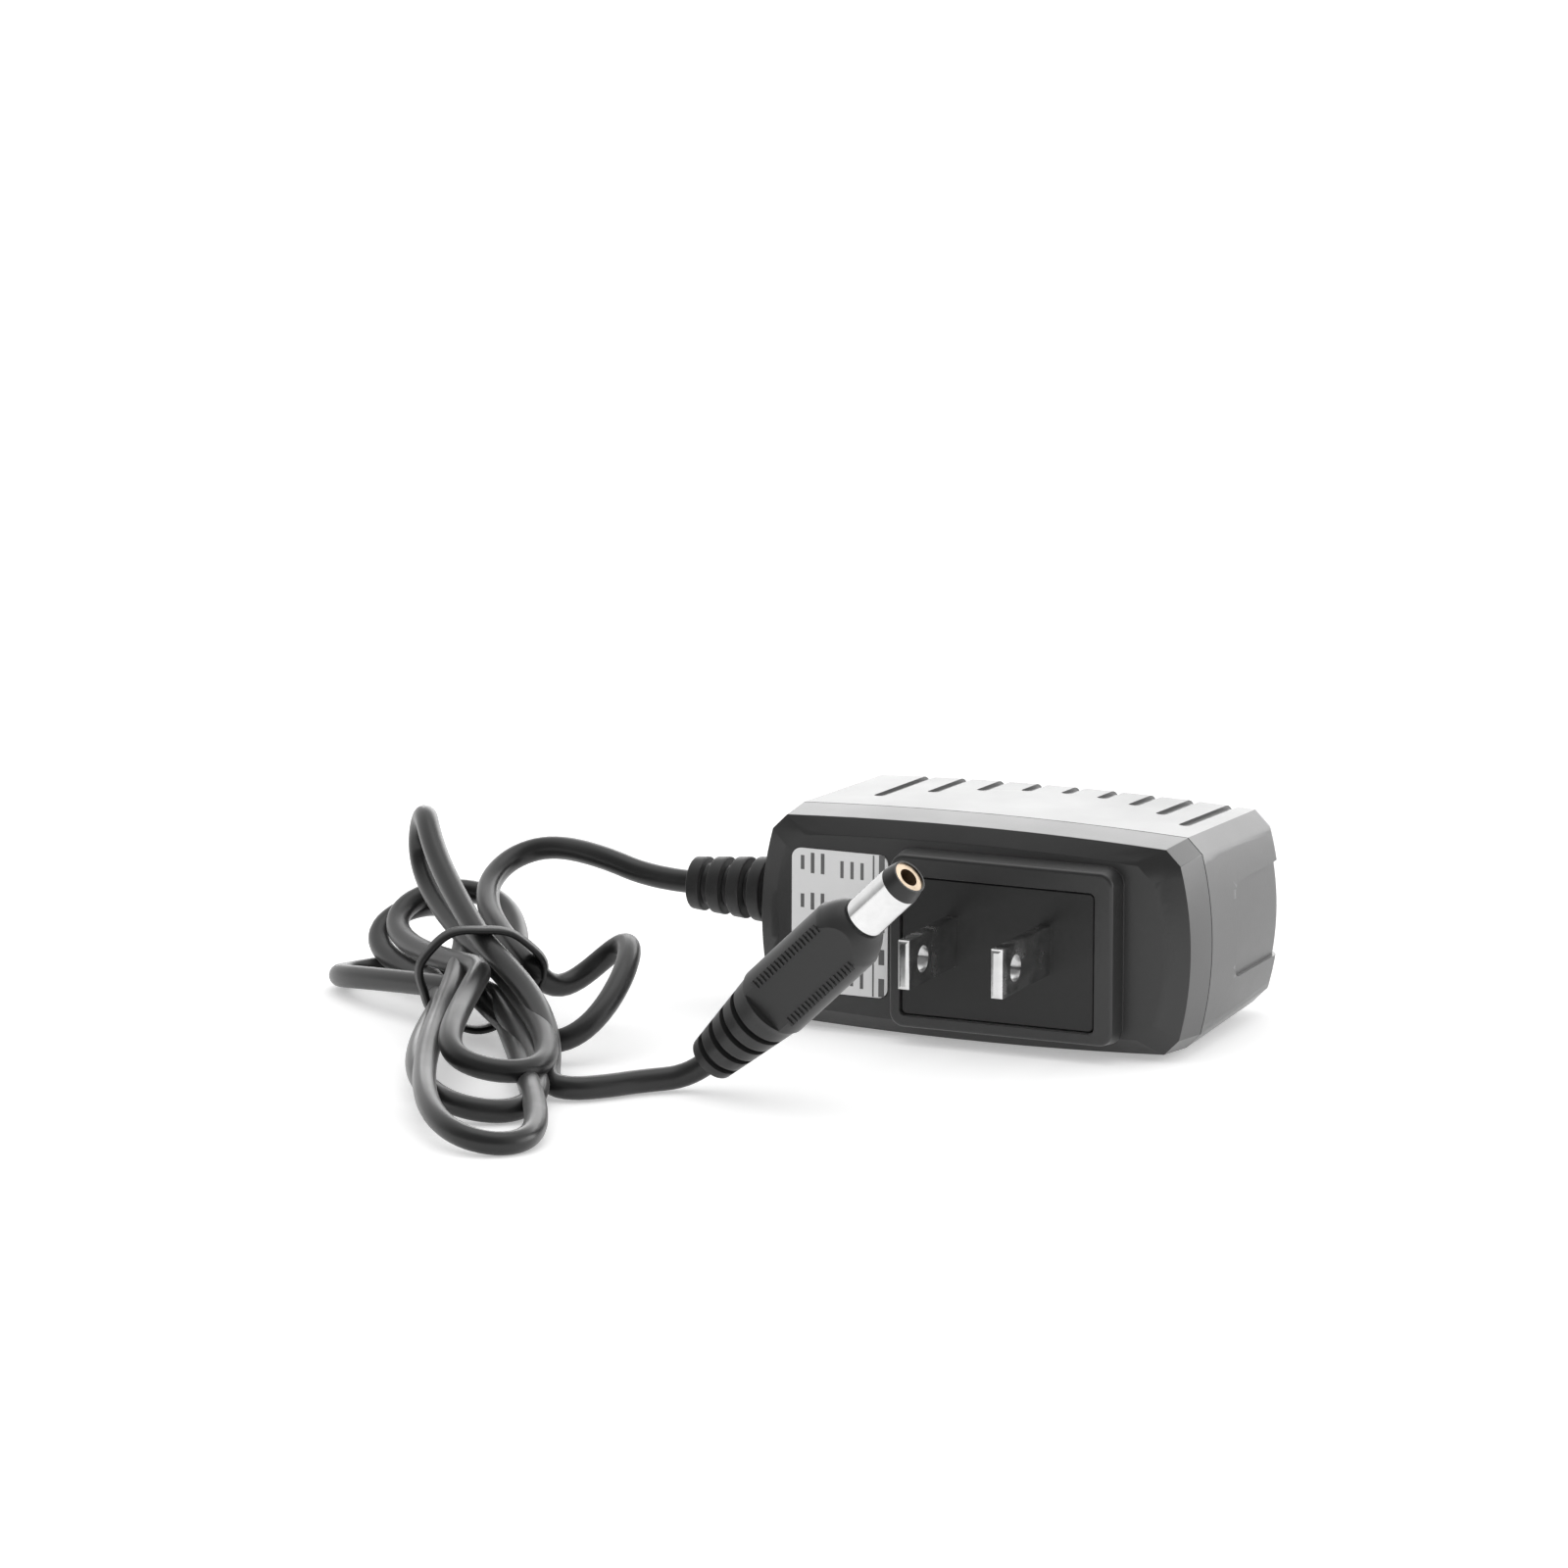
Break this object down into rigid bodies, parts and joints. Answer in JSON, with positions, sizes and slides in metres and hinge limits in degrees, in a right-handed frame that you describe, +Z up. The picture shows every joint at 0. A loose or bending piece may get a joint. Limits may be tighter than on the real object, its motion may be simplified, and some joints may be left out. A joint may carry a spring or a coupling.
{
  "type": "power adapter",
  "caption": "Black plug-in wall power adapter with two flat blades, a ribbed cord relief, a thin tied-up cord and a barrel plug.",
  "frame": {"origin": "middle of the box round the housing and its blades, at the foot it lies on", "axes": "+X along the housing away from the cord, -Y where the blades point, +Z up"},
  "size_m": [0.1177, 0.1171, 0.0338],
  "materials": {
    "housing_plastic": "fine spark-eroded texture, satin black",
    "insert_plastic": "satin black",
    "blade_metal": "nickel plated brass, worn at the tips",
    "contact_metal": "plain sprung strip",
    "label_film": "pale printed film",
    "relief_rubber": "satin black",
    "cord_jacket": "smooth black",
    "tie_skin": "thin black film over wire",
    "plug_plastic": "satin black",
    "plug_metal": "bright nickel",
    "plug_insulator": "smooth black ring",
    "board_laminate": "solder mask over glass laminate",
    "ferrite": "sintered grey",
    "bobbin_plastic": "moulded",
    "winding_tape": "yellow tape over wire",
    "can_sleeve": "shrink sleeve over a can",
    "chip_plastic": "moulded epoxy",
    "disc_epoxy": "dipped",
    "fuse_case": "moulded",
    "wire_skin": "insulated core"
  },
  "bodies": {
    "root": {"front_shell": "housing_plastic", "rear_shell": "housing_plastic", "blade_carrier": "insert_plastic", "blade_left": "blade_metal", "blade_right": "blade_metal", "contact_left": "contact_metal", "contact_right": "contact_metal", "rating_label": "label_film", "circuit_board": "board_laminate", "transformer_core": "ferrite", "transformer_bobbin": "bobbin_plastic", "transformer_winding": "winding_tape", "bulk_capacitor": "can_sleeve", "output_capacitors": "can_sleeve", "filter_inductor": "ferrite", "input_fuse": "fuse_case", "bridge_rectifier": "chip_plastic", "optocoupler": "chip_plastic", "controller_chip": "chip_plastic", "safety_capacitor": "disc_epoxy", "output_diode": "chip_plastic", "output_wires": "wire_skin", "strain_relief": "relief_rubber", "cord_lead": "cord_jacket", "cord_hank": "cord_jacket", "cord_tail": "cord_jacket", "twist_tie": "tie_skin", "plug_grip": "plug_plastic", "plug_barrel": "plug_metal", "plug_tip": "plug_insulator", "plug_inner_contact": "plug_metal"}
  },
  "joints": []
}
